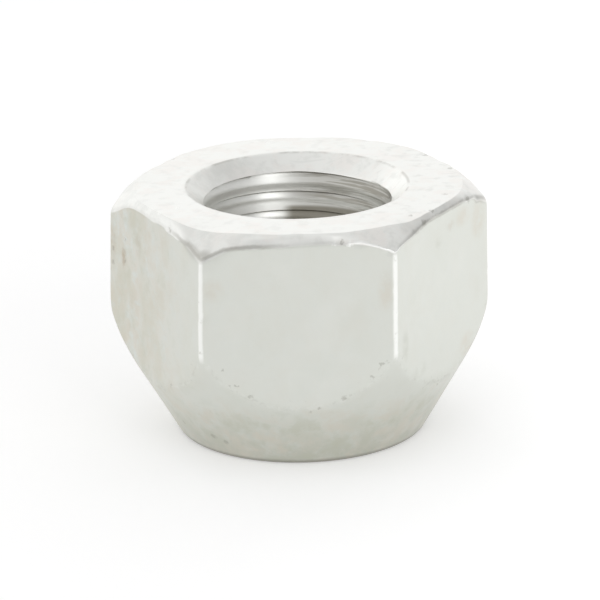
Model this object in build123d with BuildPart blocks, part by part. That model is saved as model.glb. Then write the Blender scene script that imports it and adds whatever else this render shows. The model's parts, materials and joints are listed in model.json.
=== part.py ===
from build123d import *
import math
import os

os.makedirs("parts", exist_ok=True)

# Acorn lug nut: an open-ended wheel nut with a conical seat, one forged,
# turned and tapped piece of steel.  It stands on its small end.  +Z runs up
# the thread axis, two hexagon corners lie on the X axis and two of the six
# flats face along Y.  The origin is the middle of the small end.  Sizes in mm.

# Hexagon that takes the wheel wrench (13/16 inch across flats)
across_flats = 20.64
corner_radius = 0.45          # forged roundness of the six upright corners
height = 15.6                 # from the small end to the top face

# Thread (1/2-20 UNF, right-hand).  The bore wall stands at its minor diameter.
thread_radius = 6.35
thread_pitch = 1.27
tapping_allowance = 0.07      # the drilled hole is this much over the basic minor radius
top_countersink_width = 1.19
top_countersink_depth = 1.0
base_countersink_width = 0.92
base_countersink_depth = 0.9

# Conical seat that centres the wheel (60 degrees included)
seat_half_angle = 30.0
small_end_wall = 1.39         # wall outside the thread where the cone meets the base plane
small_end_edge = 0.4          # rounded edge round the small end
blend_radius = 9.0            # forged curve that carries the cone up to the corners
blend_margin = 0.26           # the curve ends this far outside the sharp corners

# Top end
chamfer_angle = 38.0          # turned chamfer, measured from the top face
chamfer_margin = 0.12         # the chamfer starts this far inside the flats
rolled_edge_width = 0.27      # forged edge along the top of each flat, in from the flat
rolled_edge_height = 0.56     # the same edge, down from the top face

# Sizes that follow from the ones above
basic_thread_depth = 0.625 * thread_pitch * math.cos(math.radians(30))
bore_radius = thread_radius - basic_thread_depth + tapping_allowance
top_countersink_radius = bore_radius + top_countersink_width
base_countersink_radius = bore_radius + base_countersink_width

seat_angle = math.radians(seat_half_angle)
corner_reach = across_flats / 2 / math.cos(math.radians(30))
stock_radius = corner_reach + blend_margin
seat_foot_radius = thread_radius + small_end_wall
seat_top_radius = stock_radius - blend_radius * (1 - math.cos(seat_angle))
seat_height = (seat_top_radius - seat_foot_radius) / math.tan(seat_angle)
blend_top = seat_height + blend_radius * math.sin(seat_angle)

chamfer_start_radius = across_flats / 2 - chamfer_margin
chamfer_foot = height - (stock_radius - chamfer_start_radius) * math.tan(
    math.radians(chamfer_angle)
)

with BuildPart() as lug_nut:
    # Hexagonal blank with rounded upright corners
    with BuildSketch(Plane.XY):
        RegularPolygon(radius=across_flats / 2, side_count=6, major_radius=False)
    extrude(amount=height)
    fillet(lug_nut.edges().filter_by(Axis.Z), radius=corner_radius)

    # Forged edge rolled over along the top of the flats
    top_face = lug_nut.faces().sort_by(Axis.Z)[-1]
    chamfer(
        top_face.edges(),
        length=rolled_edge_width,
        length2=rolled_edge_height,
        reference=top_face,
    )

    # Outer turning profile: cone, forged blend, upright side, top chamfer
    with BuildSketch(Plane.XZ):
        with BuildLine():
            Line((0, 0), (seat_foot_radius, 0))
            Line((seat_foot_radius, 0), (seat_top_radius, seat_height))
            JernArc(
                start=(seat_top_radius, seat_height),
                tangent=(math.tan(seat_angle), 1),
                radius=blend_radius,
                arc_size=seat_half_angle,
            )
            Line((stock_radius, blend_top), (stock_radius, chamfer_foot))
            Line((stock_radius, chamfer_foot), (chamfer_start_radius, height))
            Line((chamfer_start_radius, height), (0, height))
            Line((0, height), (0, 0))
        make_face()
    revolve(axis=Axis.Z, mode=Mode.INTERSECT)

    # Rounded edge round the small end
    small_end_face = lug_nut.faces().sort_by(Axis.Z)[0]
    fillet(small_end_face.edges(), radius=small_end_edge)

    # Thread bore with a countersink at each end
    with BuildSketch(Plane.XZ):
        with BuildLine():
            Polyline(
                (0, 0),
                (base_countersink_radius, 0),
                (bore_radius, base_countersink_depth),
                (bore_radius, height - top_countersink_depth),
                (top_countersink_radius, height),
                (0, height),
                (0, 0),
            )
        make_face()
    revolve(axis=Axis.Z, mode=Mode.SUBTRACT)

lug_nut.part.label = "lug_nut"
export_step(lug_nut.part, "parts/lug_nut.step")
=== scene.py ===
# %% [markdown]
# # An acorn lug nut in bright zinc plate
# An acorn lug nut holds a road wheel on its stud. It is one piece of steel: the blank is forged with
# a hexagon for the wrench, the cone that centres the wheel is part of the same forging, the top is
# faced and chamfered on a lathe, the hole is tapped and the whole nut is zinc plated.
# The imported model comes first, because every size and place below is read from it or set beside it.

# %% Load the fixed frame
import json
import math
import random

import bmesh
import bpy
from mathutils import Euler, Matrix, Vector, noise as waves


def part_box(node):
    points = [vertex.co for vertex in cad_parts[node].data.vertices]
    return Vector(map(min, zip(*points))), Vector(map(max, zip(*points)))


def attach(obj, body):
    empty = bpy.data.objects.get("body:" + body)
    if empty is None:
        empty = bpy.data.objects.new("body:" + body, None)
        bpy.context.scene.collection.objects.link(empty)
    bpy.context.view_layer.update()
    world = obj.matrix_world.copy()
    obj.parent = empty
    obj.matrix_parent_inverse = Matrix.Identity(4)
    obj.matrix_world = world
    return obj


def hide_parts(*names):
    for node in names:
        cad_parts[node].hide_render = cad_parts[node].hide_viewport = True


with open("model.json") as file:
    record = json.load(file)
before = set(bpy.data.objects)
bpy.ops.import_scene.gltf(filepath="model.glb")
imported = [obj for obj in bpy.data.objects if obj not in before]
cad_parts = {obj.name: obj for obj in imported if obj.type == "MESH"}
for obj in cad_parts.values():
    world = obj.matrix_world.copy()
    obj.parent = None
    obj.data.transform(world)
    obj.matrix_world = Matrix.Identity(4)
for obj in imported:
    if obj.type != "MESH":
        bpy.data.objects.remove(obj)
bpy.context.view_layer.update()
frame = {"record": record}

MM = 0.001
low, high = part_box("lug_nut")
thread_mount = next(m for m in frame["record"]["mounts"] if m["name"] == "stud_thread")
print("CAD box (mm):", [round((high[i] - low[i]) / MM, 3) for i in range(3)])

# %% [markdown]
# ## Sizes of the nut
# The hexagon, the height and the bore are taken from the frame. The forged and turned details are
# named here in millimetres, as they would stand on a drawing.

# %% Sizes of the nut
ACROSS_FLATS = high[1] - low[1]
HEIGHT = high[2] - low[2]
MINOR_RADIUS = thread_mount["dims"]["r_mm"] * MM
MAJOR_RADIUS = 6.35 * MM
PITCH = 1.27 * MM
CREST_RADIUS = MINOR_RADIUS + 0.07 * MM

CORNER_RADIUS = 0.45 * MM
DRAFT = math.tan(math.radians(0.9))
ROLLED_WIDTH = 0.2 * MM
ROLLED_HEIGHT = 0.42 * MM
ROLLED_EXTRA = 0.3 * MM
TALL_SIDE = math.radians(250)
CHAMFER_ANGLE = math.radians(38)
CHAMFER_START = ACROSS_FLATS / 2 - 0.12 * MM
CHAMFER_BULGE = 0.08 * MM
LEAN_LOW = 0.03 * MM
LEAN_HIGH = 0.1 * MM

SEAT_ANGLE = math.radians(30)
SEAT_FOOT = MAJOR_RADIUS + 1.39 * MM
SMALL_END_EDGE = 0.4 * MM
BLEND_RADIUS = 9.0 * MM
STOCK_RADIUS = ACROSS_FLATS / 2 / math.cos(math.radians(30)) + 0.26 * MM
SEAT_TOP = STOCK_RADIUS - BLEND_RADIUS * (1 - math.cos(SEAT_ANGLE))
SEAT_HEIGHT = (SEAT_TOP - SEAT_FOOT) / math.tan(SEAT_ANGLE)

TOP_MOUTH = MINOR_RADIUS + 1.19 * MM
TOP_MOUTH_DEPTH = 1.1 * MM
BASE_MOUTH = MINOR_RADIUS + 0.92 * MM
BASE_MOUTH_DEPTH = 0.9 * MM
RUNOUT_RADIUS = CREST_RADIUS + 0.06 * MM
RIM_OUT = 0.08 * MM
RIM_IN = 0.06 * MM
print("across flats (mm):", round(ACROSS_FLATS / MM, 2), " seat height (mm):", round(SEAT_HEIGHT / MM, 2))

# %% [markdown]
# ## A bench for nodes
# Both the shapes and the finish are worked out by nodes. One small class wraps a node socket, so that
# sums can be written the way a maker would write them on paper, and one method adds any other node.

# %% A bench for nodes
class Reading:
    """A number that a socket carries; sums on it add Math nodes."""

    def __init__(self, bench, socket):
        self.bench = bench
        self.socket = socket

    def __add__(self, other):
        return self.bench.sum("ADD", self, other)

    def __radd__(self, other):
        return self.bench.sum("ADD", other, self)

    def __sub__(self, other):
        return self.bench.sum("SUBTRACT", self, other)

    def __rsub__(self, other):
        return self.bench.sum("SUBTRACT", other, self)

    def __mul__(self, other):
        return self.bench.sum("MULTIPLY", self, other)

    def __rmul__(self, other):
        return self.bench.sum("MULTIPLY", other, self)

    def __truediv__(self, other):
        return self.bench.sum("DIVIDE", self, other)

    def __rtruediv__(self, other):
        return self.bench.sum("DIVIDE", other, self)

    def __pow__(self, other):
        return self.bench.sum("POWER", self, other)


class Bench:
    """Adds nodes to one tree."""

    def __init__(self, tree):
        self.tree = tree
        tree.nodes.clear()

    def feed(self, socket, value):
        source = value.socket if isinstance(value, Reading) else value
        if isinstance(source, bpy.types.NodeSocket):
            self.tree.links.new(source, socket)
        else:
            socket.default_value = source

    def add(self, kind, settings=None, sockets=None):
        node = self.tree.nodes.new(kind)
        for name, value in (settings or {}).items():
            setattr(node, name, value)
        for name, value in (sockets or {}).items():
            self.feed(node.inputs[name], value)
        return node

    def read(self, node, name):
        return Reading(self, node.outputs[name])

    def sum(self, operation, *terms):
        node = self.tree.nodes.new("ShaderNodeMath")
        node.operation = operation
        for place, term in enumerate(terms):
            self.feed(node.inputs[place], term)
        return Reading(self, node.outputs[0])

    def ease(self, value, start, end, first=0.0, last=1.0):
        """A soft step: first below start, last above end."""
        node = self.add(
            "ShaderNodeMapRange",
            {"interpolation_type": "SMOOTHSTEP"},
            {"Value": value, "From Min": start, "From Max": end, "To Min": first, "To Max": last},
        )
        return self.read(node, "Result")


print("bench ready")

# %% [markdown]
# ## The section
# A lathe hand would think of this nut as one closed section spun round the thread axis: up the cone,
# round the forged curve, over the chamfer, across the top and down into the countersink. The section
# is drawn here as short runs of points, closer together wherever an edge has to be crisp.

# %% Draw the section
def run(start, end, count):
    """Points from start towards end, without the last one."""
    steps = [step / count for step in range(count)]
    return [(start[0] + (end[0] - start[0]) * t, start[1] + (end[1] - start[1]) * t) for t in steps]


def bend(centre, radius, from_angle, to_angle, count):
    """Points along an arc, without the last one."""
    angles = [from_angle + (to_angle - from_angle) * step / count for step in range(count)]
    return [(centre[0] + radius * math.cos(a), centre[1] + radius * math.sin(a)) for a in angles]


base_slope = (BASE_MOUTH - MINOR_RADIUS) / BASE_MOUTH_DEPTH
top_slope = (TOP_MOUTH - MINOR_RADIUS) / TOP_MOUTH_DEPTH
thread_foot = (BASE_MOUTH - RUNOUT_RADIUS) / base_slope
thread_head = HEIGHT - (TOP_MOUTH - RUNOUT_RADIUS) / top_slope

small_end_tangent = SMALL_END_EDGE * math.tan((math.pi / 2 - SEAT_ANGLE) / 2)
edge_centre = (SEAT_FOOT - small_end_tangent, SMALL_END_EDGE)
edge_end = (
    edge_centre[0] + SMALL_END_EDGE * math.cos(SEAT_ANGLE),
    edge_centre[1] - SMALL_END_EDGE * math.sin(SEAT_ANGLE),
)
blend_centre = (STOCK_RADIUS - BLEND_RADIUS, SEAT_HEIGHT + BLEND_RADIUS * math.sin(SEAT_ANGLE))
blend_top = (STOCK_RADIUS, blend_centre[1])
chamfer_foot = (STOCK_RADIUS, HEIGHT - (STOCK_RADIUS - CHAMFER_START) * math.tan(CHAMFER_ANGLE))


def bulged(start, end, bulge, count):
    """Points from start to end on a shallow curve that swells outwards."""
    length = math.hypot(end[0] - start[0], end[1] - start[1])
    out = ((end[1] - start[1]) / length, (start[0] - end[0]) / length)
    swell = [4 * bulge * (step / count) * (1 - step / count) for step in range(count)]
    return [(r + out[0] * s, z + out[1] * s) for (r, z), s in zip(run(start, end, count), swell)]


section = run((RUNOUT_RADIUS, thread_foot), (BASE_MOUTH, 0), 5)
section += run((BASE_MOUTH, 0), (edge_centre[0], 0), 4)
section += bend(edge_centre, SMALL_END_EDGE, -math.pi / 2, -SEAT_ANGLE, 6)
section += run(edge_end, (SEAT_TOP, SEAT_HEIGHT), 34)
section += bend(blend_centre, BLEND_RADIUS, -SEAT_ANGLE, 0, 26)
section += run(blend_top, chamfer_foot, 20)
section += bulged(chamfer_foot, (CHAMFER_START, HEIGHT), CHAMFER_BULGE, 30)
rim_outer = (TOP_MOUTH + RIM_OUT, HEIGHT)
rim_inner = (TOP_MOUTH - RIM_IN, HEIGHT - RIM_IN)
section += run((CHAMFER_START, HEIGHT), rim_outer, 16)
section += run(rim_outer, rim_inner, 3)
section += run(rim_inner, (RUNOUT_RADIUS, thread_head), 10)
section += [(RUNOUT_RADIUS, thread_head)]
print("section points:", len(section))


def section_line(name, points):
    """An edge-only mesh that carries the section, and a spare number in Y, to a node tree."""
    mesh = bpy.data.meshes.new(name)
    places = [(point[0], point[2] if point[2:] else 0, point[1]) for point in points]
    mesh.from_pydata(places, [(i, i + 1) for i in range(len(points) - 1)], [])
    line = bpy.data.objects.new(name, mesh)
    bpy.context.scene.collection.objects.link(line)
    return line


# %% [markdown]
# ## A finish to stand in while the shapes are made
# The node trees end by setting a material, so the zinc gets its slot now and its nodes further down.

# %% Start the zinc finish
zinc = bpy.data.materials.new("bright_zinc")
zinc.use_nodes = True
print("material:", zinc.name)

# %% [markdown]
# ## Spinning a section with Geometry Nodes
# A grid is bent round the axis: its columns become angles and its rows take their radius and height
# from the section. The columns crowd together at the six corners, where the surface turns quickly.
# Bending a grid beats spinning by hand, because the hexagon can then be cut by one formula.

# %% Spin a section
COLUMNS = 324
CORNER_CROWDING = 0.68


def new_tree(name, sizes):
    """A geometry tree with named inputs for its sizes."""
    tree = bpy.data.node_groups.new(name, "GeometryNodeTree")
    tree.interface.new_socket("Geometry", in_out="INPUT", socket_type="NodeSocketGeometry")
    for label, value in sizes.items():
        kind = "NodeSocketInt" if isinstance(value, int) else "NodeSocketFloat"
        tree.interface.new_socket(label, in_out="INPUT", socket_type=kind)
    tree.interface.new_socket("Geometry", in_out="OUTPUT", socket_type="NodeSocketGeometry")
    bench = Bench(tree)
    inputs = bench.add("NodeGroupInput")
    return bench, inputs


def run_tree(target, bench, sizes):
    """Hang the tree on an object, set its inputs and return the plain mesh that it makes."""
    modifier = target.modifiers.new("shape", "NODES")
    modifier.node_group = bench.tree
    items = bench.tree.interface.items_tree
    sockets = {item.name: item.identifier for item in items if item.in_out == "INPUT"}
    for label, value in sizes.items():
        modifier[sockets[label]] = value
    depsgraph = bpy.context.evaluated_depsgraph_get()
    mesh = bpy.data.meshes.new_from_object(target.evaluated_get(depsgraph))
    target.modifiers.remove(modifier)
    bpy.data.objects.remove(target)
    return mesh


def spin_grid(bench, columns, rows):
    """A grid with its row number, and the angle of each column round the axis."""
    grid = bench.add("GeometryNodeMeshGrid", None, {"Vertices X": columns + 1, "Vertices Y": rows})
    index = bench.read(bench.add("GeometryNodeInputIndex"), "Index")
    column = bench.sum("FLOOR", (index + 0.5) / rows)
    row = index - column * rows
    steady = column * (2 * math.pi) / columns
    angle = steady - bench.sum("SINE", steady * 6) * (CORNER_CROWDING / 6)
    return grid, row, angle


def finish_tree(bench, grid, radius, angle, height, sideways=0.0):
    """Place the grid, set the material and end the tree."""
    place = bench.add(
        "ShaderNodeCombineXYZ",
        None,
        {
            "X": radius * bench.sum("COSINE", angle) + sideways,
            "Y": radius * bench.sum("SINE", angle),
            "Z": height,
        },
    )
    moved = bench.add(
        "GeometryNodeSetPosition", None, {"Geometry": grid, "Position": place.outputs["Vector"]}
    )
    real = bench.add("GeometryNodeRealizeInstances", None, {"Geometry": moved.outputs["Geometry"]})
    dressed = bench.add(
        "GeometryNodeSetMaterial", None, {"Geometry": real.outputs["Geometry"], "Material": zinc}
    )
    bench.add("NodeGroupOutput", None, {"Geometry": dressed.outputs["Geometry"]})


# %% [markdown]
# ## The forged body
# Wherever the spun section stands further out than the hexagon, the hexagon wins. Taking the smaller
# of the two radii cuts all six flats at once, and a *smooth* smaller-of-two leaves the rounded edges
# that a forging die leaves: soft where the flats run into the cone, tighter round the top chamfer.
# The edge that the die rolled over at the top of each flat is taller on one side of the nut, because
# a hot blank seldom sits quite straight in its die. The hexagon also leans a little over the cone,
# and one corner at the top is crisper than the other five.

# %% Make the forged body
MID_HEIGHT = 8.0 * MM
LEAN_FOOT = 3.0 * MM
LEAN_INNER = 7.1 * MM
LEAN_OUTER = 9.0 * MM
SOFT_BELOW = 10.0 * MM
TIP_FOOT = 13.0 * MM
TIP_HEAD = 14.0 * MM
TIP_SPREAD = 0.2
TIP_MIDDLE = 0.03
CRISP_CORNER = math.radians(300)
body_sizes = {
    "Columns": COLUMNS,
    "Rows": len(section),
    "Half Across Flats": ACROSS_FLATS / 2,
    "Corner Radius": CORNER_RADIUS,
    "Rolled Width": ROLLED_WIDTH,
    "Rolled Height": ROLLED_HEIGHT,
    "Rolled Extra": ROLLED_EXTRA,
    "Tall Side": TALL_SIDE,
    "Height": HEIGHT,
    "Draft": DRAFT,
    "Draft Start": MID_HEIGHT,
    "Soft Edge Low": 0.35 * MM,
    "Soft Edge High": 0.12 * MM,
    "Soft Corner": 0.5 * MM,
    "Soft Tip": 0.7 * MM,
    "Crisp Tip": 0.2 * MM,
    "Lean Low": LEAN_LOW,
    "Lean High": LEAN_HIGH,
}
body_bench, body_in = new_tree("forged_body", body_sizes)
size = {label: body_bench.read(body_in, label) for label in body_sizes}

grid, row, angle = spin_grid(body_bench, size["Columns"], size["Rows"])
station = body_bench.add(
    "GeometryNodeSampleIndex",
    {"data_type": "FLOAT_VECTOR", "domain": "POINT", "clamp": True},
    {
        "Geometry": body_in.outputs["Geometry"],
        "Value": body_bench.add("GeometryNodeInputPosition").outputs["Position"],
        "Index": row,
    },
)
split = body_bench.add("ShaderNodeSeparateXYZ", None, {"Vector": station.outputs["Value"]})
spun_radius = body_bench.read(split, "X")
height_here = body_bench.read(split, "Z")

from_corner = body_bench.sum("PINGPONG", angle, math.pi / 6)
lean = body_bench.sum("MAXIMUM", height_here - size["Draft Start"], 0) * size["Draft"]
flat_distance = size["Half Across Flats"] - lean
flat_reach = flat_distance / body_bench.sum("COSINE", math.pi / 6 - from_corner)
below_top = size["Height"] - height_here
tall_side = body_bench.sum("MAXIMUM", body_bench.sum("COSINE", angle - size["Tall Side"]), 0) ** 4
rolled_height = size["Rolled Height"] + size["Rolled Extra"] * tall_side
rolled_distance = flat_distance - size["Rolled Width"] * (1 - below_top / rolled_height)
rolled_reach = rolled_distance / body_bench.sum("COSINE", math.pi / 6 - from_corner)
arc_centre = (flat_distance - size["Corner Radius"]) / math.cos(math.pi / 6)
across = arc_centre * body_bench.sum("SINE", from_corner)
inside_root = body_bench.sum("MAXIMUM", size["Corner Radius"] * size["Corner Radius"] - across * across, 0)
arc_reach = arc_centre * body_bench.sum("COSINE", from_corner) + body_bench.sum("SQRT", inside_root)
arc_ends = body_bench.sum(
    "ARCTAN2",
    size["Corner Radius"] * 0.5,
    arc_centre + size["Corner Radius"] * math.cos(math.pi / 6),
)
on_arc = body_bench.sum("LESS_THAN", from_corner, arc_ends)
hexagon_reach = flat_reach + (arc_reach - flat_reach) * on_arc

tip_level = body_bench.ease(height_here, TIP_FOOT, TIP_HEAD)
at_tip = body_bench.ease(from_corner, TIP_SPREAD, TIP_MIDDLE) * tip_level
softness = body_bench.ease(
    height_here, MID_HEIGHT, SOFT_BELOW, size["Soft Edge Low"], size["Soft Edge High"]
)
crisp_side = body_bench.ease(body_bench.sum("COSINE", angle - CRISP_CORNER), 0.9, 0.98)
tip = size["Soft Tip"] + (size["Crisp Tip"] - size["Soft Tip"]) * crisp_side
softness = softness + (tip - softness) * at_tip
top_cut = body_bench.sum("SMOOTH_MIN", spun_radius, rolled_reach, size["Soft Corner"])
radius = body_bench.sum("SMOOTH_MIN", top_cut, hexagon_reach, softness)
leaning = body_bench.ease(height_here, MID_HEIGHT, HEIGHT) * size["Lean High"]
leaning = leaning - body_bench.ease(height_here, LEAN_FOOT, MID_HEIGHT) * size["Lean Low"]
leaning = leaning * body_bench.ease(spun_radius, LEAN_INNER, LEAN_OUTER)
finish_tree(body_bench, grid.outputs["Mesh"], radius, angle, height_here, leaning)
body_mesh = run_tree(section_line("body_section", section), body_bench, body_sizes)
print("body faces:", len(body_mesh.polygons))

# %% [markdown]
# ## The thread
# A tap cuts one long groove. One tooth of the thread is drawn as a short section, and the same kind
# of grid repeats it up the bore, with every row climbing one pitch in each turn. The groove grows
# from nothing where it leaves a countersink, as the feathered start of a real tapped hole does.
# The lower crests lean back a little more than the first ones, where studs have worn them. The tooth
# is split into short rows, because smooth shading blends the lean of neighbouring faces and would
# otherwise bend each wide face. The groove is drawn shallower than a freshly cut one, as a plated and
# dirty thread looks.

# %% Cut the thread
GROOVE_DEPTH = 0.34 * MM
ROOT_RADIUS = CREST_RADIUS + GROOVE_DEPTH
ROOT_LEAN = 0.03 * MM
ROOT_FLAT = 0.08 * MM
UNDER_FLANK = 0.2 * MM
LIP_LEAN = 0.03 * MM
LIP_HEIGHT = 0.09 * MM
CREST_LEAN = 0.08 * MM
CREST_HEIGHT = 0.43 * MM
WORN_CREST = 0.105 * MM
WORN_HOLLOW = 0.02 * MM
HOLLOW_LEAN = 0.13 * MM
ROW_GAP = 0.11 * MM
THREAD_START = -0.565
WORN_BELOW = 13.1 * MM
FEATHER = 3.0
lip_foot = ROOT_FLAT + UNDER_FLANK
crest_foot = lip_foot + LIP_HEIGHT
crest_top = crest_foot + CREST_HEIGHT
hollow = (crest_top + PITCH) / 2

tooth = [
    (ROOT_RADIUS, 0, 0),
    (ROOT_RADIUS + ROOT_LEAN, ROOT_FLAT, 0),
    (CREST_RADIUS, lip_foot, 0),
    (CREST_RADIUS + LIP_LEAN, crest_foot, 0),
    (CREST_RADIUS + CREST_LEAN, crest_top, WORN_CREST),
    (ROOT_RADIUS - HOLLOW_LEAN, hollow, WORN_HOLLOW),
]
fine_tooth = []
for start, end in zip(tooth, tooth[1:] + [(ROOT_RADIUS, PITCH, 0)]):
    pieces = max(round((end[1] - start[1]) / ROW_GAP), 1)
    for piece in range(pieces):
        share = piece / pieces
        fine_tooth.append(tuple(a + (b - a) * share for a, b in zip(start, end)))
turns = (thread_head - thread_foot) / PITCH + 1
print("tooth points:", len(fine_tooth), " turns in the bore:", round(turns - 1, 2))

thread_sizes = {
    "Columns": COLUMNS,
    "Rows": math.ceil(turns + 0.5) * len(fine_tooth) + 1,
    "Tooth Points": len(fine_tooth),
    "Pitch": PITCH,
    "Start": THREAD_START,
    "Foot": thread_foot,
    "Head": thread_head,
    "Runout Radius": RUNOUT_RADIUS,
    "Foot Slope": base_slope,
    "Head Slope": top_slope,
    "Worn Below": WORN_BELOW,
    "Feather": FEATHER,
}
thread_bench, thread_in = new_tree("tapped_thread", thread_sizes)
size = {label: thread_bench.read(thread_in, label) for label in thread_sizes}

grid, row, angle = spin_grid(thread_bench, size["Columns"], size["Rows"])
turn = thread_bench.sum("FLOOR", (row + 0.5) / size["Tooth Points"])
station = thread_bench.add(
    "GeometryNodeSampleIndex",
    {"data_type": "FLOAT_VECTOR", "domain": "POINT", "clamp": True},
    {
        "Geometry": thread_in.outputs["Geometry"],
        "Value": thread_bench.add("GeometryNodeInputPosition").outputs["Position"],
        "Index": row - turn * size["Tooth Points"],
    },
)
split = thread_bench.add("ShaderNodeSeparateXYZ", None, {"Vector": station.outputs["Value"]})
climb = turn + angle / (2 * math.pi) + size["Start"] - 1
free_height = size["Foot"] + size["Pitch"] * climb + thread_bench.read(split, "Z")
height_here = thread_bench.sum(
    "MINIMUM", thread_bench.sum("MAXIMUM", free_height, size["Foot"]), size["Head"]
)
foot_cone = size["Runout Radius"] - (height_here - size["Foot"]) * size["Foot Slope"]
head_cone = size["Runout Radius"] - (size["Head"] - height_here) * size["Head Slope"]
cone = thread_bench.sum("MAXIMUM", foot_cone, head_cone)
wear_here = thread_bench.ease(free_height, size["Worn Below"] + size["Pitch"] * 0.3, size["Worn Below"])
tooth_radius = thread_bench.read(split, "X") + thread_bench.read(split, "Y") * wear_here
to_end = thread_bench.sum("MINIMUM", size["Head"] - height_here, height_here - size["Foot"])
feathered = thread_bench.sum("MINIMUM", tooth_radius, size["Runout Radius"] + to_end * size["Feather"])
radius = thread_bench.sum("MAXIMUM", feathered, cone)
finish_tree(thread_bench, grid.outputs["Mesh"], radius, angle, height_here)
thread_mesh = run_tree(section_line("thread_section", fine_tooth), thread_bench, thread_sizes)
print("thread faces:", len(thread_mesh.polygons))

# %% [markdown]
# ## One closed skin
# Body and thread share the same angles, so their rims meet point for point. Welding them gives one
# closed skin, as the real nut has, and the weld also closes the seam of each grid. Edges that turn
# sharply are marked crisp; all the others are shaded smooth.

# %% Weld the skin
WELD = 0.004 * MM
CRISP = math.radians(28)


def weld(meshes, name):
    """Join meshes into one closed skin with its faces outwards."""
    skin = bmesh.new()
    for mesh in meshes:
        skin.from_mesh(mesh)
    bmesh.ops.remove_doubles(skin, verts=skin.verts, dist=WELD)
    bmesh.ops.dissolve_degenerate(skin, edges=skin.edges, dist=WELD / 2)
    bmesh.ops.recalc_face_normals(skin, faces=skin.faces)
    open_edges = sum(1 for edge in skin.edges if len(edge.link_faces) != 2)
    if skin.calc_volume(signed=True) < 0:
        bmesh.ops.reverse_faces(skin, faces=skin.faces)
    volume = skin.calc_volume(signed=True)
    for face in skin.faces:
        face.smooth = True
    for edge in skin.edges:
        edge.smooth = edge.calc_face_angle(0) < CRISP
    joined = bpy.data.meshes.new(name)
    skin.to_mesh(joined)
    skin.free()
    joined.materials.clear()
    joined.materials.append(zinc)
    print("open edges:", open_edges, " volume (mm3):", round(volume / MM**3))
    return joined


skin_mesh = weld([body_mesh, thread_mesh], "lug_nut_skin")

# %% [markdown]
# ## Uneven, rubbed and knocked
# No forging is quite even, and nuts knock against each other in their bin. A slow wave moves the
# forged skin by a hundredth or two of a millimetre, three rubbed places sit lower than the rest of
# the chamfer, and small knocks bite the edges. The base plane stays flat.
# Each place below is its centre and its reach in millimetres, then how deep it goes.

# %% Wear the skin
UNEVEN = 0.018 * MM
WAVE = 3.2 * MM
rubbed = [
    ((-6.3, -9.6, 14.4), 3.6, 0.3),
    ((7.3, -8.3, 14.7), 2.0, 0.24),
    ((-11.2, -0.9, 14.5), 2.6, 0.22),
]
knocks = [
    ((-5.8, -10.0, 10.5), 0.5, 0.09),
    ((7.6, -6.9, 15.45), 0.4, 0.04),
    ((10.4, -2.3, 15.3), 0.4, 0.08),
    ((2.7, -10.1, 15.2), 0.4, 0.06),
    ((-7.7, -6.8, 15.1), 0.4, 0.07),
    ((-7.9, 6.0, 15.6), 0.5, 0.06),
    ((8.1, 5.7, 15.6), 0.4, 0.05),
    ((9.6, 2.8, 15.6), 0.5, 0.07),
    ((8.2, -5.8, 15.6), 0.4, 0.04),
]
SEED = 11
RIDGE_KNOCKS = 22
CHAMFER_KNOCKS = 30
EDGE_KNOCKS = 36
RIDGE_RADIUS = 11.72
FLAT_RADIUS = 10.2
TOP_LEVEL = 15.6
dice = random.Random(SEED)
for _ in range(RIDGE_KNOCKS):
    way = math.radians(60 * dice.randrange(6)) + dice.gauss(0, 0.02)
    level = dice.uniform(8.0, 14.0)
    reach = RIDGE_RADIUS - 0.01 * level
    spot_hit = (reach * math.cos(way), reach * math.sin(way), level)
    knocks.append((spot_hit, dice.uniform(0.2, 0.4), dice.uniform(0.02, 0.05)))
for _ in range(CHAMFER_KNOCKS):
    way = dice.uniform(0, 2 * math.pi)
    reach = dice.gauss(CHAMFER_START / MM, 0.12)
    knocks.append(((reach * math.cos(way), reach * math.sin(way), 15.55), dice.uniform(0.35, 0.8), 0.025))
for _ in range(EDGE_KNOCKS):
    way = dice.uniform(0, 2 * math.pi)
    near_flat = math.radians(60) * round((math.degrees(way) - 30) / 60) + math.radians(30)
    reach = FLAT_RADIUS / math.cos(way - near_flat)
    level = TOP_LEVEL - max(0.45, (reach - FLAT_RADIUS) * 0.78)
    knocks.append(((reach * math.cos(way), reach * math.sin(way), level), dice.uniform(0.3, 0.6), 0.035))


def nearness(point, centre, reach):
    """1 at the centre, easing to 0 at the reach; all in millimetres."""
    away = sum((a - b) ** 2 for a, b in zip(point, centre)) / reach**2
    return max(1 - away, 0) ** 2


BORE_GUARD = 7.3
BASE_GUARD = 0.5


def wear(mesh):
    """Move the outer skin by the wave, the rubbed places and the knocks."""
    places = [vertex.co.copy() for vertex in mesh.vertices]
    normals = [vertex.normal.copy() for vertex in mesh.vertices]
    for place, normal in zip(places, normals):
        point = (place.x / MM, place.y / MM, place.z / MM)
        if math.hypot(point[0], point[1]) < BORE_GUARD or point[2] < BASE_GUARD:
            continue
        free = min((point[2] - BASE_GUARD) / 1.5, 1) * max(1 - max(normal.z, 0) * 1.5, 0)
        push = waves.noise(place / WAVE) * UNEVEN * free
        for centre, reach, depth in knocks:
            push -= depth * MM * nearness(point, centre, reach)
        place += normal * push
        for centre, reach, depth in rubbed:
            place.z -= depth * MM * nearness(point, centre, reach)
    mesh.vertices.foreach_set("co", [number for place in places for number in place])
    mesh.update()
    print("points looked at:", len(places), " knocks:", len(knocks))


wear(skin_mesh)

# %% [markdown]
# ## Into the frame
# The finished nut rides on the fixed body and stands in the plain node's place, which is hidden.

# %% Set the nut in the frame
nut = bpy.data.objects.new("lug_nut_finished", skin_mesh)
bpy.context.scene.collection.objects.link(nut)
triangles = sum(len(p.vertices) - 2 for p in skin_mesh.polygons)
print("triangles:", triangles)
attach(nut, "root")
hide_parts("lug_nut")
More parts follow.
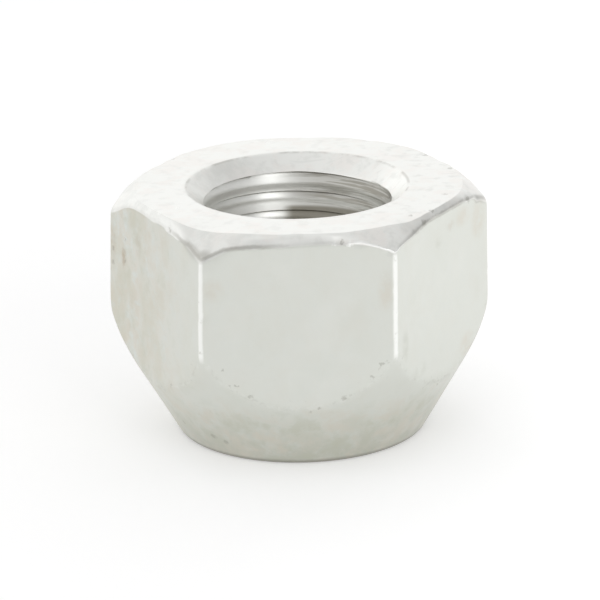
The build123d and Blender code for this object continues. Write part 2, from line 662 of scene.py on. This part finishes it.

# %% [markdown]
# ## Finding the way over the surface
# Bright zinc is a thin metal coat, so it shows the making of the steel under it: pale turned faces,
# greyer forged ones, bright edges that are partly worn and partly painted highlight. Each of these
# belongs to a place on the nut, as do the painted shade and highlights. The place comes from object
# coordinates in millimetres, with the same radii that shaped the body, so the finish stays on its
# edge whichever way the nut is turned.

# %% Find the way over the surface
bench = Bench(zinc.node_tree)
coordinates = bench.add("ShaderNodeTexCoord")
place = bench.add(
    "ShaderNodeVectorMath", {"operation": "SCALE"}, {"Vector": coordinates.outputs["Object"], "Scale": 1000}
).outputs["Vector"]
parts = bench.add("ShaderNodeSeparateXYZ", None, {"Vector": place})
x, y, z = (bench.read(parts, axis) for axis in "XYZ")
facing = bench.read(
    bench.add("ShaderNodeSeparateXYZ", None, {"Vector": coordinates.outputs["Normal"]}), "Z"
)
lean_high = bench.ease(z, MID_HEIGHT / MM, HEIGHT / MM, 0.0, LEAN_HIGH / MM)
lean_low = bench.ease(z, LEAN_FOOT / MM, MID_HEIGHT / MM, 0.0, LEAN_LOW / MM)
lean_share = bench.ease(bench.sum("SQRT", x * x + y * y), LEAN_INNER / MM, LEAN_OUTER / MM)
x = x - (lean_high - lean_low) * lean_share
radius = bench.sum("SQRT", x * x + y * y)
from_corner = bench.sum("PINGPONG", bench.sum("ARCTAN2", y, x), math.pi / 6)
beside_ridge = radius * bench.sum("SINE", from_corner)

half_flats = ACROSS_FLATS / 2 / MM
flat_distance = half_flats - bench.sum("MAXIMUM", z - MID_HEIGHT / MM, 0) * DRAFT
flat_reach = flat_distance / bench.sum("COSINE", math.pi / 6 - from_corner)
below_top = HEIGHT / MM - z
along_tall_side = (x * math.cos(TALL_SIDE) + y * math.sin(TALL_SIDE)) / radius
rolled_height = ROLLED_HEIGHT / MM + bench.sum("MAXIMUM", along_tall_side, 0) ** 4 * (ROLLED_EXTRA / MM)
chamfer_depth = (flat_reach - (CHAMFER_START + CHAMFER_BULGE * 0.7) / MM) * math.tan(CHAMFER_ANGLE)
flat_ends = HEIGHT / MM - bench.sum("MAXIMUM", chamfer_depth, rolled_height)
seat_height = SEAT_HEIGHT / MM
above_seat = blend_centre[1] / MM - bench.sum("MAXIMUM", z, seat_height)
blend_reach = (STOCK_RADIUS - BLEND_RADIUS) / MM + bench.sum(
    "SQRT", bench.sum("MAXIMUM", (BLEND_RADIUS / MM) ** 2 - above_seat * above_seat, 0)
)
cone_reach = blend_reach + (bench.sum("MINIMUM", z, seat_height) - seat_height) * math.tan(SEAT_ANGLE)
print("the finish knows flats, chamfer, cone and ridges")

# %% [markdown]
# ## Masks for the finish
# A mask is a number from 0 to 1 that says how much of a thing is here. Soft steps make them from the
# distances above, and noise breaks them up, because no real edge is worn evenly.

# %% Tools for masks
def noise(scale, detail=2.0, roughness=0.5, stretch=(1, 1, 1), seed=(0, 0, 0), turn=0.0):
    """Cloudy noise, scale being the number of clouds in a millimetre."""
    moved = bench.add(
        "ShaderNodeMapping",
        None,
        {"Vector": place, "Location": seed, "Scale": stretch, "Rotation": (0, 0, turn)},
    )
    clouds = bench.add(
        "ShaderNodeTexNoise",
        None,
        {"Vector": moved.outputs["Vector"], "Scale": scale, "Detail": detail, "Roughness": roughness},
    )
    return Reading(bench, clouds.outputs[0])


def specks(scale, size, share, seed):
    """Small round specks: size in cells, share of the cells that have one."""
    moved = bench.add("ShaderNodeMapping", None, {"Vector": ragged, "Location": seed})
    cells = bench.add(
        "ShaderNodeTexVoronoi", None, {"Vector": moved.outputs["Vector"], "Scale": scale}
    )
    lot = bench.add("ShaderNodeSeparateColor", None, {"Color": cells.outputs["Color"]})
    chosen = bench.sum("LESS_THAN", bench.read(lot, "Red"), share)
    return chosen * bench.ease(bench.read(cells, "Distance"), size * 0.4, size, 1.0, 0.0)


def spot(centre, reach):
    """A soft blob round a point, both in millimetres."""
    dx = (x - centre[0]) / reach[0]
    dy = (y - centre[1]) / reach[1]
    dz = (z - centre[2]) / reach[2]
    return bench.ease(bench.sum("SQRT", dx * dx + dy * dy + dz * dz), 0.25, 1.0, 1.0, 0.0)


wobble = bench.add("ShaderNodeTexNoise", None, {"Vector": place, "Scale": 5.0, "Detail": 2.0})
centred = bench.add("ShaderNodeVectorMath", {"operation": "SUBTRACT"})
bench.feed(centred.inputs[0], wobble.outputs["Color"])
bench.feed(centred.inputs[1], (0.5, 0.5, 0.5))
shaken = bench.add(
    "ShaderNodeVectorMath", {"operation": "SCALE"}, {"Vector": centred.outputs["Vector"], "Scale": 0.5}
)
ragged = bench.add("ShaderNodeVectorMath", {"operation": "ADD"})
bench.feed(ragged.inputs[0], place)
bench.feed(ragged.inputs[1], shaken.outputs["Vector"])
ragged = ragged.outputs["Vector"]


def dot(centre, reach):
    """A small ragged mark round a point, both in millimetres."""
    gap = bench.add("ShaderNodeVectorMath", {"operation": "DISTANCE"})
    bench.feed(gap.inputs[0], ragged)
    bench.feed(gap.inputs[1], centre)
    return bench.ease(bench.read(gap, "Value"), reach * 0.35, reach, 1.0, 0.0)


print("tools for masks: noise, specks, spot, dot")

# %% [markdown]
# ## The first masks
# Eight layers of noise serve nearly the whole finish, from slow clouds down to fine grain. Then the
# nut is parted by place: what was turned on the lathe, what is inside the bore and what is still as
# forged.

# %% Make the masks
clouds = noise(0.3, 3, 0.55)
patches = noise(0.62, 4, 0.62, seed=(9, 1, 6))
flecks = noise(1.6, 4, 0.7, seed=(2, 7, 3))
STROKE = (0.35, 4, 1)
strokes = noise(1.2, 2, 0.5, stretch=STROKE, seed=(4, 2, 8), turn=0.5)
strokes = bench.sum("MAXIMUM", strokes, noise(1.2, 2, 0.5, stretch=STROKE, seed=(6, 9, 2), turn=-0.35))
tap_lines = noise(1.0, 3, 0.6, stretch=(0.25, 0.25, 6), seed=(1, 3, 5))
grain = noise(2.6, 3, 0.65, seed=(5, 2, 9))
streaks = noise(0.5, 4, 0.6, stretch=(1, 1, 0.6), seed=(3, 8, 1))
blotches = noise(1.1, 4, 0.6, seed=(1, 4, 7))

# Each pair is where a soft step starts and where it is complete, in millimetres.
SKIN_STEP = (6.9, 7.2)
RING_STEP = (6.8, 6.9)
TURNED_STEP = (13.5, 14.0)
outside = bench.ease(radius, *SKIN_STEP)
mouth_reach = TOP_MOUTH / MM - below_top * top_slope
in_mouth = bench.ease(bench.sum("ABSOLUTE", radius - mouth_reach), 0.05, 0.1, 1.0, 0.0)
turned_round = bench.sum("MAXIMUM", bench.ease(radius, *RING_STEP), in_mouth) * bench.ease(z, *TURNED_STEP)
turned = bench.ease(facing, 0.1, 0.22) * turned_round
inside_bore = (1 - outside) * (1 - turned)
forged = outside * (1 - turned)
print("first masks made: outside, turned, bore, forged")

# %% [markdown]
# ## Edges
# Three kinds of edge show on this nut. The upright ridges are painted bright, partly as metal worn by
# the wrench and partly as painted highlight; the line where the chamfer cuts the flats carries a dark
# line of painted shade; and small pits gather along the curve where the flats run out into the cone.

# %% Find the edges
RIDGE_WIDTH = (0.07, 0.22)
RIDGE_FOOT = (7.4, 8.0)
RIDGE_HEAD = (14.1, 14.4)
ARC_FOOT = (3.4, 4.0)
ARC_HEAD = (7.6, 8.2)
uneven_ridge = beside_ridge + (blotches - 0.5) * 0.12
# Bright upright ridges: partly zinc worn by the wrench, partly painted highlight.
ridge_wear_and_highlight = forged * bench.ease(uneven_ridge, *RIDGE_WIDTH, 1.0, 0.0) * bench.ease(z, *RIDGE_FOOT)
ridge_wear_and_highlight = ridge_wear_and_highlight * bench.ease(z, *RIDGE_HEAD, 1.0, 0.0)
level = z
for centre, reach, depth in rubbed:
    dx, dy, dz = x - centre[0], y - centre[1], z - centre[2]
    near = bench.sum("MAXIMUM", 1 - (dx * dx + dy * dy + dz * dz) / reach**2, 0)
    level = level + near * near * depth
top_gap = bench.sum("ABSOLUTE", level + (grain - 0.5) * 0.12 - flat_ends)
top_edge = bench.ease(top_gap, 0.03, 0.2, 1.0, 0.0) * outside
mouth_edge = bench.ease(bench.sum("ABSOLUTE", radius - TOP_MOUTH / MM), 0.02, 0.13, 1.0, 0.0) * turned
arc_gap = bench.sum("ABSOLUTE", flat_reach - cone_reach)
ragged_arc_gap = bench.sum("ABSOLUTE", flat_reach - cone_reach + (flecks - 0.5) * 0.5)
below_ridges = bench.ease(z, *ARC_HEAD, 1.0, 0.0)
arc_edge = bench.ease(arc_gap, 0.05, 0.45, 1.0, 0.0) * below_ridges
arc_line = bench.ease(ragged_arc_gap, 0.02, 0.12, 1.0, 0.0)
arc_line = arc_line * below_ridges * bench.ease(z, *ARC_FOOT)
print("edges found: ridge, top, mouth, arc")

# %% [markdown]
# ## The colour of the zinc
# The colour starts as clean zinc and each layer is laid over the last one: warm, cool and olive films
# on the forged faces, then the turned faces, bright from the tool and scuffed since, then the bore,
# painted paler partly as light, with its soot and painted shade. The marks that come further down are
# laid over all of these.

# %% Lay the colours
def lay(under, colour, amount):
    """One colour laid over another, amount from 0 to 1."""
    mixer = bench.add("ShaderNodeMix", {"data_type": "RGBA"})
    bench.feed(mixer.inputs[0], amount)
    bench.feed(mixer.inputs[6], under)
    bench.feed(mixer.inputs[7], colour)
    return mixer.outputs[2]


CLEAN_ZINC = (0.69, 0.705, 0.66, 1)
PALE_ZINC = (0.74, 0.75, 0.71, 1)
TURNED_ZINC = (0.915, 0.92, 0.89, 1)
# Scuffed zinc, also used as painted shade.
SCUFFED_AND_SHADED_ZINC = (0.78, 0.785, 0.755, 1)
# Paler than the cut metal: partly the bright tapped zinc, partly painted light that lifts the bore.
TAPPED_ZINC_AND_LIGHT = (0.95, 0.955, 0.925, 1)
# Greyer zinc for faint stains, also used as painted shade.
DULL_AND_SHADED_ZINC = (0.57, 0.58, 0.52, 1)
FILM = (0.61, 0.59, 0.49, 1)
WARM_FILM = (0.655, 0.63, 0.56, 1)
COOL_FILM = (0.67, 0.70, 0.67, 1)
OLIVE_FILM = (0.565, 0.57, 0.49, 1)
WARM_TURNED = (0.905, 0.885, 0.85, 1)
RUST = (0.40, 0.29, 0.18, 1)
# Dark grey for real grime and pits, also used as painted shade.
GRIME_AND_SHADE = (0.30, 0.29, 0.25, 1)
# Soot in the bore, also used as painted shade there.
TAP_SOOT_AND_SHADE = (0.21, 0.187, 0.135, 1)
# Bright worn zinc, also used as painted highlight.
WORN_AND_HIGHLIGHT_ZINC = (0.94, 0.945, 0.92, 1)

LEFT_STEP = (-5.5, -11.0)
RIGHT_STEP = (-2.2, 2.0)
LOW_CONE_STEP = (5.4, 2.6)
DARK_FOOT_STEP = (4.6, 0.8)
DEEP_BORE_STEP = (12.5, 12.2)
PAST_MIDDLE_STEP = (-1.3, -0.3)
# How far a face looks up, from 1 for level: the chamfer is what leans away from the flat top.
CHAMFER_STEP = (0.97, 0.9)

left_side = bench.ease(x, *LEFT_STEP)
low_cone = bench.ease(z, *LOW_CONE_STEP)
mottled = bench.sum("MAXIMUM", left_side, low_cone * 0.8) * 0.9 + 0.1
film = bench.ease(streaks + left_side * 0.1, 0.46, 0.72) * (0.1 + left_side * 0.36)
scuffs = bench.ease(blotches, 0.5, 0.68) * 0.7
right_side = bench.ease(x, *RIGHT_STEP)
# Painted shade in the bore, with some soot: darker deep down past the middle, on the faces that look down
# and on the right wall.
deep_bore_shade = bench.ease(z, *DEEP_BORE_STEP) * bench.ease(x, *PAST_MIDDLE_STEP)
under_flank_shade = bench.ease(facing, 0.0, -0.2) * (0.1 + right_side * 0.9)
upper_faces = bench.ease(facing, 0.25, 0.45)
right_wall_soot_and_shade = right_side * (0.3 + bench.ease(tap_lines, 0.42, 0.56) * 0.4 + upper_faces * 0.2)
thread_soot_and_shade = bench.sum("MAXIMUM", bench.sum("MAXIMUM", deep_bore_shade, under_flank_shade), right_wall_soot_and_shade)

colour = lay(CLEAN_ZINC, PALE_ZINC, bench.ease(clouds, 0.45, 0.75) * 0.5)
# The cone darkens towards its foot.
colour = lay(colour, DULL_AND_SHADED_ZINC, bench.ease(z, *DARK_FOOT_STEP))
# Partly stained film, partly painted shade: the left flank warmer and darker.
colour = lay(colour, WARM_FILM, left_side * (1 - low_cone) * 0.45)
colour = lay(colour, WARM_FILM, bench.ease(patches, 0.4, 0.66) * mottled)
colour = lay(colour, COOL_FILM, bench.ease(blotches, 0.45, 0.7) * mottled * (1 - low_cone * 0.5))
colour = lay(colour, OLIVE_FILM, bench.ease(patches, 0.52, 0.32) * mottled * (0.6 + low_cone * 0.3))
colour = lay(colour, OLIVE_FILM, bench.ease(flecks, 0.55, 0.72) * mottled * 0.5)
olive_patches = [
    ((-3.6, -8.3, 3.4), (1.8, 1.6, 1.0), 0.6),
    ((3.2, -8.3, 3.4), (1.1, 1.6, 1.4), 0.5),
    ((5.6, -6.8, 3.2), (1.0, 1.6, 1.2), 0.5),
    ((0.2, -8.6, 2.3), (1.4, 1.6, 0.7), 0.4),
    ((-4.9, -6.6, 1.3), (1.2, 1.2, 0.8), 0.5),
]
for centre, reach, strength in olive_patches:
    colour = lay(colour, OLIVE_FILM, spot(centre, reach) * bench.ease(blotches, 0.3, 0.6) * strength)
colour = lay(colour, FILM, film)
turned_zinc = lay(TURNED_ZINC, WARM_TURNED, bench.ease(patches, 0.46, 0.6) * 0.8)
worn_ring = bench.ease(x, 2.0, 9.0) * 0.4 + 0.6
turned_zinc = lay(turned_zinc, SCUFFED_AND_SHADED_ZINC, scuffs * worn_ring)
turned_zinc = lay(turned_zinc, SCUFFED_AND_SHADED_ZINC, bench.ease(strokes, 0.66, 0.74) * worn_ring * 0.6)
on_chamfer = bench.ease(facing, *CHAMFER_STEP)
dull_chamfer = on_chamfer * bench.ease(x, -1.0, -6.0)
turned_zinc = lay(turned_zinc, SCUFFED_AND_SHADED_ZINC, dull_chamfer * (0.35 + bench.ease(blotches, 0.4, 0.6) * 0.4))
# Painted highlight: paler patches on the left of the chamfer.
left_chamfer_highlight = spot((-8.3, -7.0, 15.0), (2.6, 2.4, 0.9)) * on_chamfer
turned_zinc = lay(turned_zinc, WORN_AND_HIGHLIGHT_ZINC, left_chamfer_highlight * bench.ease(blotches, 0.4, 0.6) * 0.6)
# Painted shade: the right of the chamfer darkened.
right_chamfer_shade = on_chamfer * bench.ease(x, 5.0, 8.0) * bench.ease(y, -2.0, -4.0)
turned_zinc = lay(turned_zinc, SCUFFED_AND_SHADED_ZINC, right_chamfer_shade * 0.5)
colour = lay(colour, turned_zinc, turned)
colour = lay(colour, lay(TAPPED_ZINC_AND_LIGHT, TAP_SOOT_AND_SHADE, thread_soot_and_shade * 0.82), inside_bore)
print("base layers laid")

# %% [markdown]
# ## Marks laid one by one
# Some marks have their own place: brown runs, faint stains, painted shade along lengths of the chamfer
# line, of the rolled edge, of the right flat's lower curve and at the foot, a painted highlight along
# one length, and pits. Each is a soft blob in space, and where a mark belongs to one edge or face it is
# multiplied by that mask. The bright upright ridges, partly worn by the wrench and partly painted
# highlight, come over the dirt and shade. The lists give a centre and a reach in millimetres, then how
# strong the mark is.

# %% Lay the marks
brown_runs = [
    ((-10.85, -1.75, 11.6), (0.3, 0.5, 1.0), 0.5),
    ((-11.6, -0.5, 12.2), (0.4, 0.8, 1.6), 0.2),
    ((-9.9, -3.4, 12.9), (0.4, 0.7, 1.1), 0.15),
    ((9.4, -4.3, 14.1), (0.5, 0.8, 0.5), 0.15),
    ((-5.4, -10.4, 12.2), (0.8, 0.5, 0.9), 0.06),
    ((5.3, -10.4, 12.4), (0.6, 0.5, 1.3), 0.08),
]
for centre, reach, strength in brown_runs:
    colour = lay(colour, RUST, spot(centre, reach) * bench.ease(grain, 0.3, 0.6) * strength)
faint_stains = [
    (WARM_FILM, (10.1, -2.9, 14.2), (0.9, 1.5, 0.8), 0.7),
    (WARM_FILM, (11.1, -1.2, 13.5), (0.8, 1.4, 1.8), 0.7),
    (WARM_FILM, (10.5, -2.6, 5.8), (1.0, 1.6, 1.1), 0.8),
    (WARM_FILM, (5.3, -10.3, 11.8), (0.7, 0.5, 1.4), 0.6),
    (WARM_FILM, (-5.1, -10.3, 12.2), (0.9, 0.5, 1.0), 0.5),
    (DULL_AND_SHADED_ZINC, (8.6, -5.6, 13.5), (0.5, 0.8, 0.5), 0.4),
    (DULL_AND_SHADED_ZINC, (6.5, -9.4, 8.2), (0.4, 0.7, 1.4), 0.5),
    (DULL_AND_SHADED_ZINC, (7.4, -8.0, 6.0), (0.9, 1.3, 0.6), 0.45),
    (DULL_AND_SHADED_ZINC, (8.4, -6.3, 4.8), (1.0, 1.5, 0.5), 0.45),
]
for stain, centre, reach, strength in faint_stains:
    colour = lay(colour, stain, spot(centre, reach) * bench.ease(blotches, 0.3, 0.6) * forged * strength)

# Painted shade: a dark line where the chamfer cuts the flats, strongest on stretches at the front left and
# on the right.
painted_shade_stretch = spot((-4.2, -10.2, 14.7), (4.2, 1.6, 1.6)) + spot((8.6, -5.4, 14.9), (4.6, 5.8, 1.6))
painted_shade_stretch = painted_shade_stretch + spot((-7.0, -8.4, 14.7), (2.0, 2.4, 1.2)) * 0.7
painted_shade_stretch = bench.sum("MINIMUM", painted_shade_stretch + 0.15, 1)
colour = lay(colour, GRIME_AND_SHADE, top_edge * painted_shade_stretch * 0.5)
colour = lay(colour, GRIME_AND_SHADE, mouth_edge * bench.ease(streaks, 0.42, 0.6) * 0.4)
colour = lay(colour, GRIME_AND_SHADE, specks(2.2, 0.3, 0.16, (2, 5, 3)) * arc_edge * 0.3)
# Painted shade: a soft dark band along the lower curve of the right flat.
colour = lay(colour, DULL_AND_SHADED_ZINC, arc_edge * spot((9.2, -5.4, 6.3), (3.4, 3.4, 2.0)) * 0.55)
colour = lay(colour, GRIME_AND_SHADE, arc_line * bench.ease(grain, 0.5, 0.65) * 0.13)
colour = lay(colour, GRIME_AND_SHADE, arc_line * spot((8.8, -5.6, 6.0), (3.4, 3.4, 2.4)) * 0.22)
colour = lay(colour, PALE_ZINC, arc_line * bench.ease(grain, 0.48, 0.38) * 0.45)
# Painted shade: the foot darkened where the nut stands on the floor.
colour = lay(colour, GRIME_AND_SHADE, bench.ease(z, 0.4, 0.1) * outside * 0.75)
# Painted shade: the front-left corner tip and two lengths of the rolled edge darkened.
colour = lay(colour, GRIME_AND_SHADE, spot((-5.75, -10.05, 14.45), (0.75, 0.6, 0.4)) * 0.35)
shaded_roll = spot((-6.5, -9.2, 14.4), (1.7, 1.9, 0.9)) + spot((11.2, -1.3, 14.6), (1.4, 1.9, 0.9))
shaded_roll = shaded_roll * bench.ease(facing, 0.04, 0.16) * bench.ease(facing, 0.74, 0.6) * outside
colour = lay(colour, GRIME_AND_SHADE, shaded_roll * 0.38)
pits = [
    ((-3.8, -10.35, 6.1), 0.2),
    ((-3.0, -10.36, 5.4), 0.26),
    ((-1.5, -10.38, 4.5), 0.24),
    ((0.6, -10.38, 4.2), 0.3),
    ((1.2, -10.37, 4.5), 0.26),
    ((2.7, -10.36, 5.2), 0.28),
    ((4.4, -10.34, 6.5), 0.22),
    ((5.0, -10.3, 7.3), 0.22),
    ((-4.6, -10.3, 7.2), 0.2),
    ((-10.8, -1.9, 11.4), 0.2),
    ((-11.6, -0.5, 10.9), 0.3),
    ((-11.6, -0.5, 11.8), 0.25),
    ((-10.7, -1.9, 12.8), 0.2),
    ((-8.0, 6.0, 15.6), 0.3),
    ((8.1, 5.7, 15.6), 0.35),
    ((9.6, 2.8, 15.6), 0.3),
    ((8.2, -5.8, 15.6), 0.3),
    ((6.9, -6.7, 15.6), 0.25),
    ((9.1, -2.6, 15.6), 0.25),
    ((7.7, -7.0, 15.2), 0.35),
    ((10.5, -2.2, 15.1), 0.35),
    ((-7.8, -6.9, 14.95), 0.35),
    ((2.7, -10.2, 15.05), 0.25),
    ((-7.1, -4.9, 2.2), 0.3),
    ((-7.3, -4.8, 1.8), 0.25),
    ((-5.4, -6.6, 1.5), 0.4),
    ((-4.6, -7.0, 1.3), 0.35),
]
for centre, reach in pits:
    colour = lay(colour, GRIME_AND_SHADE, dot(centre, reach * 0.8) * 0.42)
# Painted highlight, partly wear: the upright ridges laid bright.
colour = lay(colour, WORN_AND_HIGHLIGHT_ZINC, ridge_wear_and_highlight * bench.ease(grain, 0.24, 0.42) * 0.85)
# Painted highlight: a bright line along the top edge of the front flat on the right, and two bright blobs
# on it.
highlight_stretch = bench.sum("MINIMUM", spot((4.7, -10.3, 14.7), (2.0, 1.2, 1.4)) * 2, 1)
painted_edge_highlight = bench.ease(top_gap, 0.03, 0.14, 1.0, 0.0) * highlight_stretch
for centre, reach in (((2.3, -10.3, 15.05), 0.22), ((3.2, -10.3, 15.0), 0.3)):
    painted_edge_highlight = bench.sum("MAXIMUM", painted_edge_highlight, dot(centre, reach))
colour = lay(colour, WORN_AND_HIGHLIGHT_ZINC, painted_edge_highlight * outside)
print("marks laid:", len(brown_runs), "brown runs,", len(pits), "pits")

# %% [markdown]
# ## Sheen and relief
# Zinc over steel keeps the grain of what is under it. The roughness goes up where the film lies and
# down on the turned faces. A fine bump carries the pebbly plating, the lathe's rings and the torn
# lengths of the chamfer.

# %% Set the sheen and the relief
sheen = 0.36 - turned * 0.06 + film * 0.15 + (clouds - 0.5) * 0.1 + (patches - 0.5) * 0.1 * mottled
bore_sheen = bench.ease(radius, 5.9, 6.0, 0.42, 0.34)
sheen = sheen + inside_bore * (bore_sheen - sheen)
rings = bench.add(
    "ShaderNodeTexNoise",
    {"noise_dimensions": "1D"},
    {"W": radius * 4.5, "Scale": 1.0, "Detail": 4.0, "Roughness": 0.7},
)
relief = grain * 0.003 * forged + Reading(bench, rings.outputs[0]) * 0.004 * turned + blotches * 0.006
relief = relief + bench.ease(top_gap, 0.0, 0.14, 1.0, 0.0) * highlight_stretch * 0.05
torn = spot((-8.7, -6.6, 15.1), (3.0, 3.0, 1.1)) + spot((8.6, -5.2, 15.2), (3.0, 3.4, 0.9)) * 0.25
relief = relief + bench.ease(blotches, 0.42, 0.6) * torn * turned * on_chamfer * 0.025
bump = bench.add("ShaderNodeBump", None, {"Strength": 1.0, "Distance": MM, "Height": relief})

surface = bench.add(
    "ShaderNodeBsdfPrincipled",
    None,
    {
        "Base Color": colour,
        "Metallic": 1 - inside_bore * 0.2,
        "Roughness": sheen,
        "Normal": bump.outputs["Normal"],
    },
)
bench.add("ShaderNodeOutputMaterial", None, {"Surface": surface.outputs["BSDF"]})
print("zinc mixed")

# %% [markdown]
# ## The floor
# The nut stands on white paper. What the lens sees of the paper, and what the metal mirrors of it,
# glows a little, so that it shows near white while the nut's soft shadow stays on it.

# %% Lay the floor
floor_mesh = bpy.data.meshes.new("studio_floor")
REACH = 1.2
floor_mesh.from_pydata(
    [(-REACH, -REACH, 0), (REACH, -REACH, 0), (REACH, REACH, 0), (-REACH, REACH, 0)], [], [(0, 1, 2, 3)]
)
floor = bpy.data.objects.new("studio_floor", floor_mesh)
bpy.context.scene.collection.objects.link(floor)
paper = bpy.data.materials.new("white_paper")
paper.use_nodes = True
bench = Bench(paper.node_tree)
path = bench.add("ShaderNodeLightPath")
seen = bench.read(path, "Is Camera Ray") + bench.read(path, "Is Glossy Ray")
seen = bench.sum("MINIMUM", seen + bench.read(path, "Is Transmission Ray"), 1)
matte = bench.add("ShaderNodeBsdfDiffuse", None, {"Color": (0.8, 0.8, 0.8, 1)})
where = bench.add("ShaderNodeTexCoord").outputs["Object"]
across = bench.add("ShaderNodeSeparateXYZ", None, {"Vector": where})
# The glow is stronger on the right: painted light, a brighter floor for the right flat to mirror.
glow_with_painted_light = bench.ease(bench.read(across, "X"), -0.01, 0.04, 0.32, 0.46)
glow = bench.add("ShaderNodeEmission", None, {"Color": (1, 1, 1, 1), "Strength": seen * glow_with_painted_light})
both = bench.add("ShaderNodeAddShader")
bench.feed(both.inputs[0], matte.outputs["BSDF"])
bench.feed(both.inputs[1], glow.outputs["Emission"])
bench.add("ShaderNodeOutputMaterial", None, {"Surface": both.outputs["Shader"]})
floor_mesh.materials.append(paper)
print("floor laid")

# %% [markdown]
# ## The light
# Bright metal shows what stands round it more than the lamps that shine on it, so most of the light is
# the world: a pale tent that is brighter behind the nut, dimmer on one side and has a low opening in
# front. One softbox adds a little shape. The lens itself sees plain white.

# %% Light the studio
MIDDLE = Vector((0, 0, HEIGHT / 2))
scene = bpy.context.scene
world = bpy.data.worlds.new("studio")
scene.world = world
world.use_nodes = True
bench = Bench(world.node_tree)
way_out = bench.add("ShaderNodeTexCoord").outputs["Generated"]
direction = bench.add("ShaderNodeSeparateXYZ", None, {"Vector": way_out})
side, depth, up = (bench.read(direction, axis) for axis in "XYZ")
back_wall = bench.ease(depth, 0.2, 0.95)
opening = bench.ease(depth, -0.6, -0.95) * bench.ease(side, 0.45, 0.05) * bench.ease(up, 0.4, 0.1)
slant = side * (1 - up * 0.6)
tent = 0.8 + back_wall * 0.22 - slant * 0.29 - opening * 0.3
path = bench.add("ShaderNodeLightPath")
seen = bench.read(path, "Is Camera Ray")
sky = bench.add("ShaderNodeBackground", None, {"Color": (1, 1, 1, 1), "Strength": tent + seen * (1 - tent)})
bench.add("ShaderNodeOutputWorld", None, {"Surface": sky.outputs["Background"]})


def softbox(name, place, size, watts):
    """A soft rectangular lamp that faces the middle of the nut."""
    lamp = bpy.data.lights.new(name, "AREA")
    lamp.shape = "RECTANGLE"
    lamp.size = size[0]
    lamp.size_y = size[1]
    lamp.energy = watts
    holder = bpy.data.objects.new(name, lamp)
    holder.location = place
    holder.rotation_euler = (MIDDLE - Vector(place)).to_track_quat("-Z", "Y").to_euler()
    scene.collection.objects.link(holder)


LAMP_PLACE = (0.26, -0.37, 0.26)
LAMP_SIZE = (0.24, 0.2)
LAMP_WATTS = 0.22
softbox("front_softbox", LAMP_PLACE, LAMP_SIZE, LAMP_WATTS)

# %% [markdown]
# ## The camera
# A long lens set well back keeps the upright ridges nearly parallel. The lens is worked out from the
# distance and from the width that the view takes in. The camera is tipped by about a degree.

# %% Set the camera
ELEVATION = math.radians(19.0)
TURN = math.radians(0.7)
ROLL = math.radians(1.3)
DISTANCE = 0.2654
VIEW_WIDTH = 0.03764
SENSOR = 36
AIM_SHIFT = Vector((0.01 * MM, 0.175 * MM, 0))
camera_data = bpy.data.cameras.new("camera")
camera_data.sensor_width = SENSOR
camera_data.lens = SENSOR * DISTANCE / VIEW_WIDTH
camera_data.clip_start = 0.01
camera_data.clip_end = 10
camera = bpy.data.objects.new("camera", camera_data)
attitude = Euler((math.pi / 2 - ELEVATION, 0, TURN)).to_matrix() @ Euler((0, 0, -ROLL)).to_matrix()
aim = MIDDLE + attitude @ AIM_SHIFT
camera.location = aim + attitude @ Vector((0, 0, DISTANCE))
camera.rotation_euler = attitude.to_euler()
scene.collection.objects.link(camera)
scene.camera = camera
scene.view_settings.view_transform = "Standard"
print("camera at (mm):", [round(v / MM, 1) for v in camera.location])
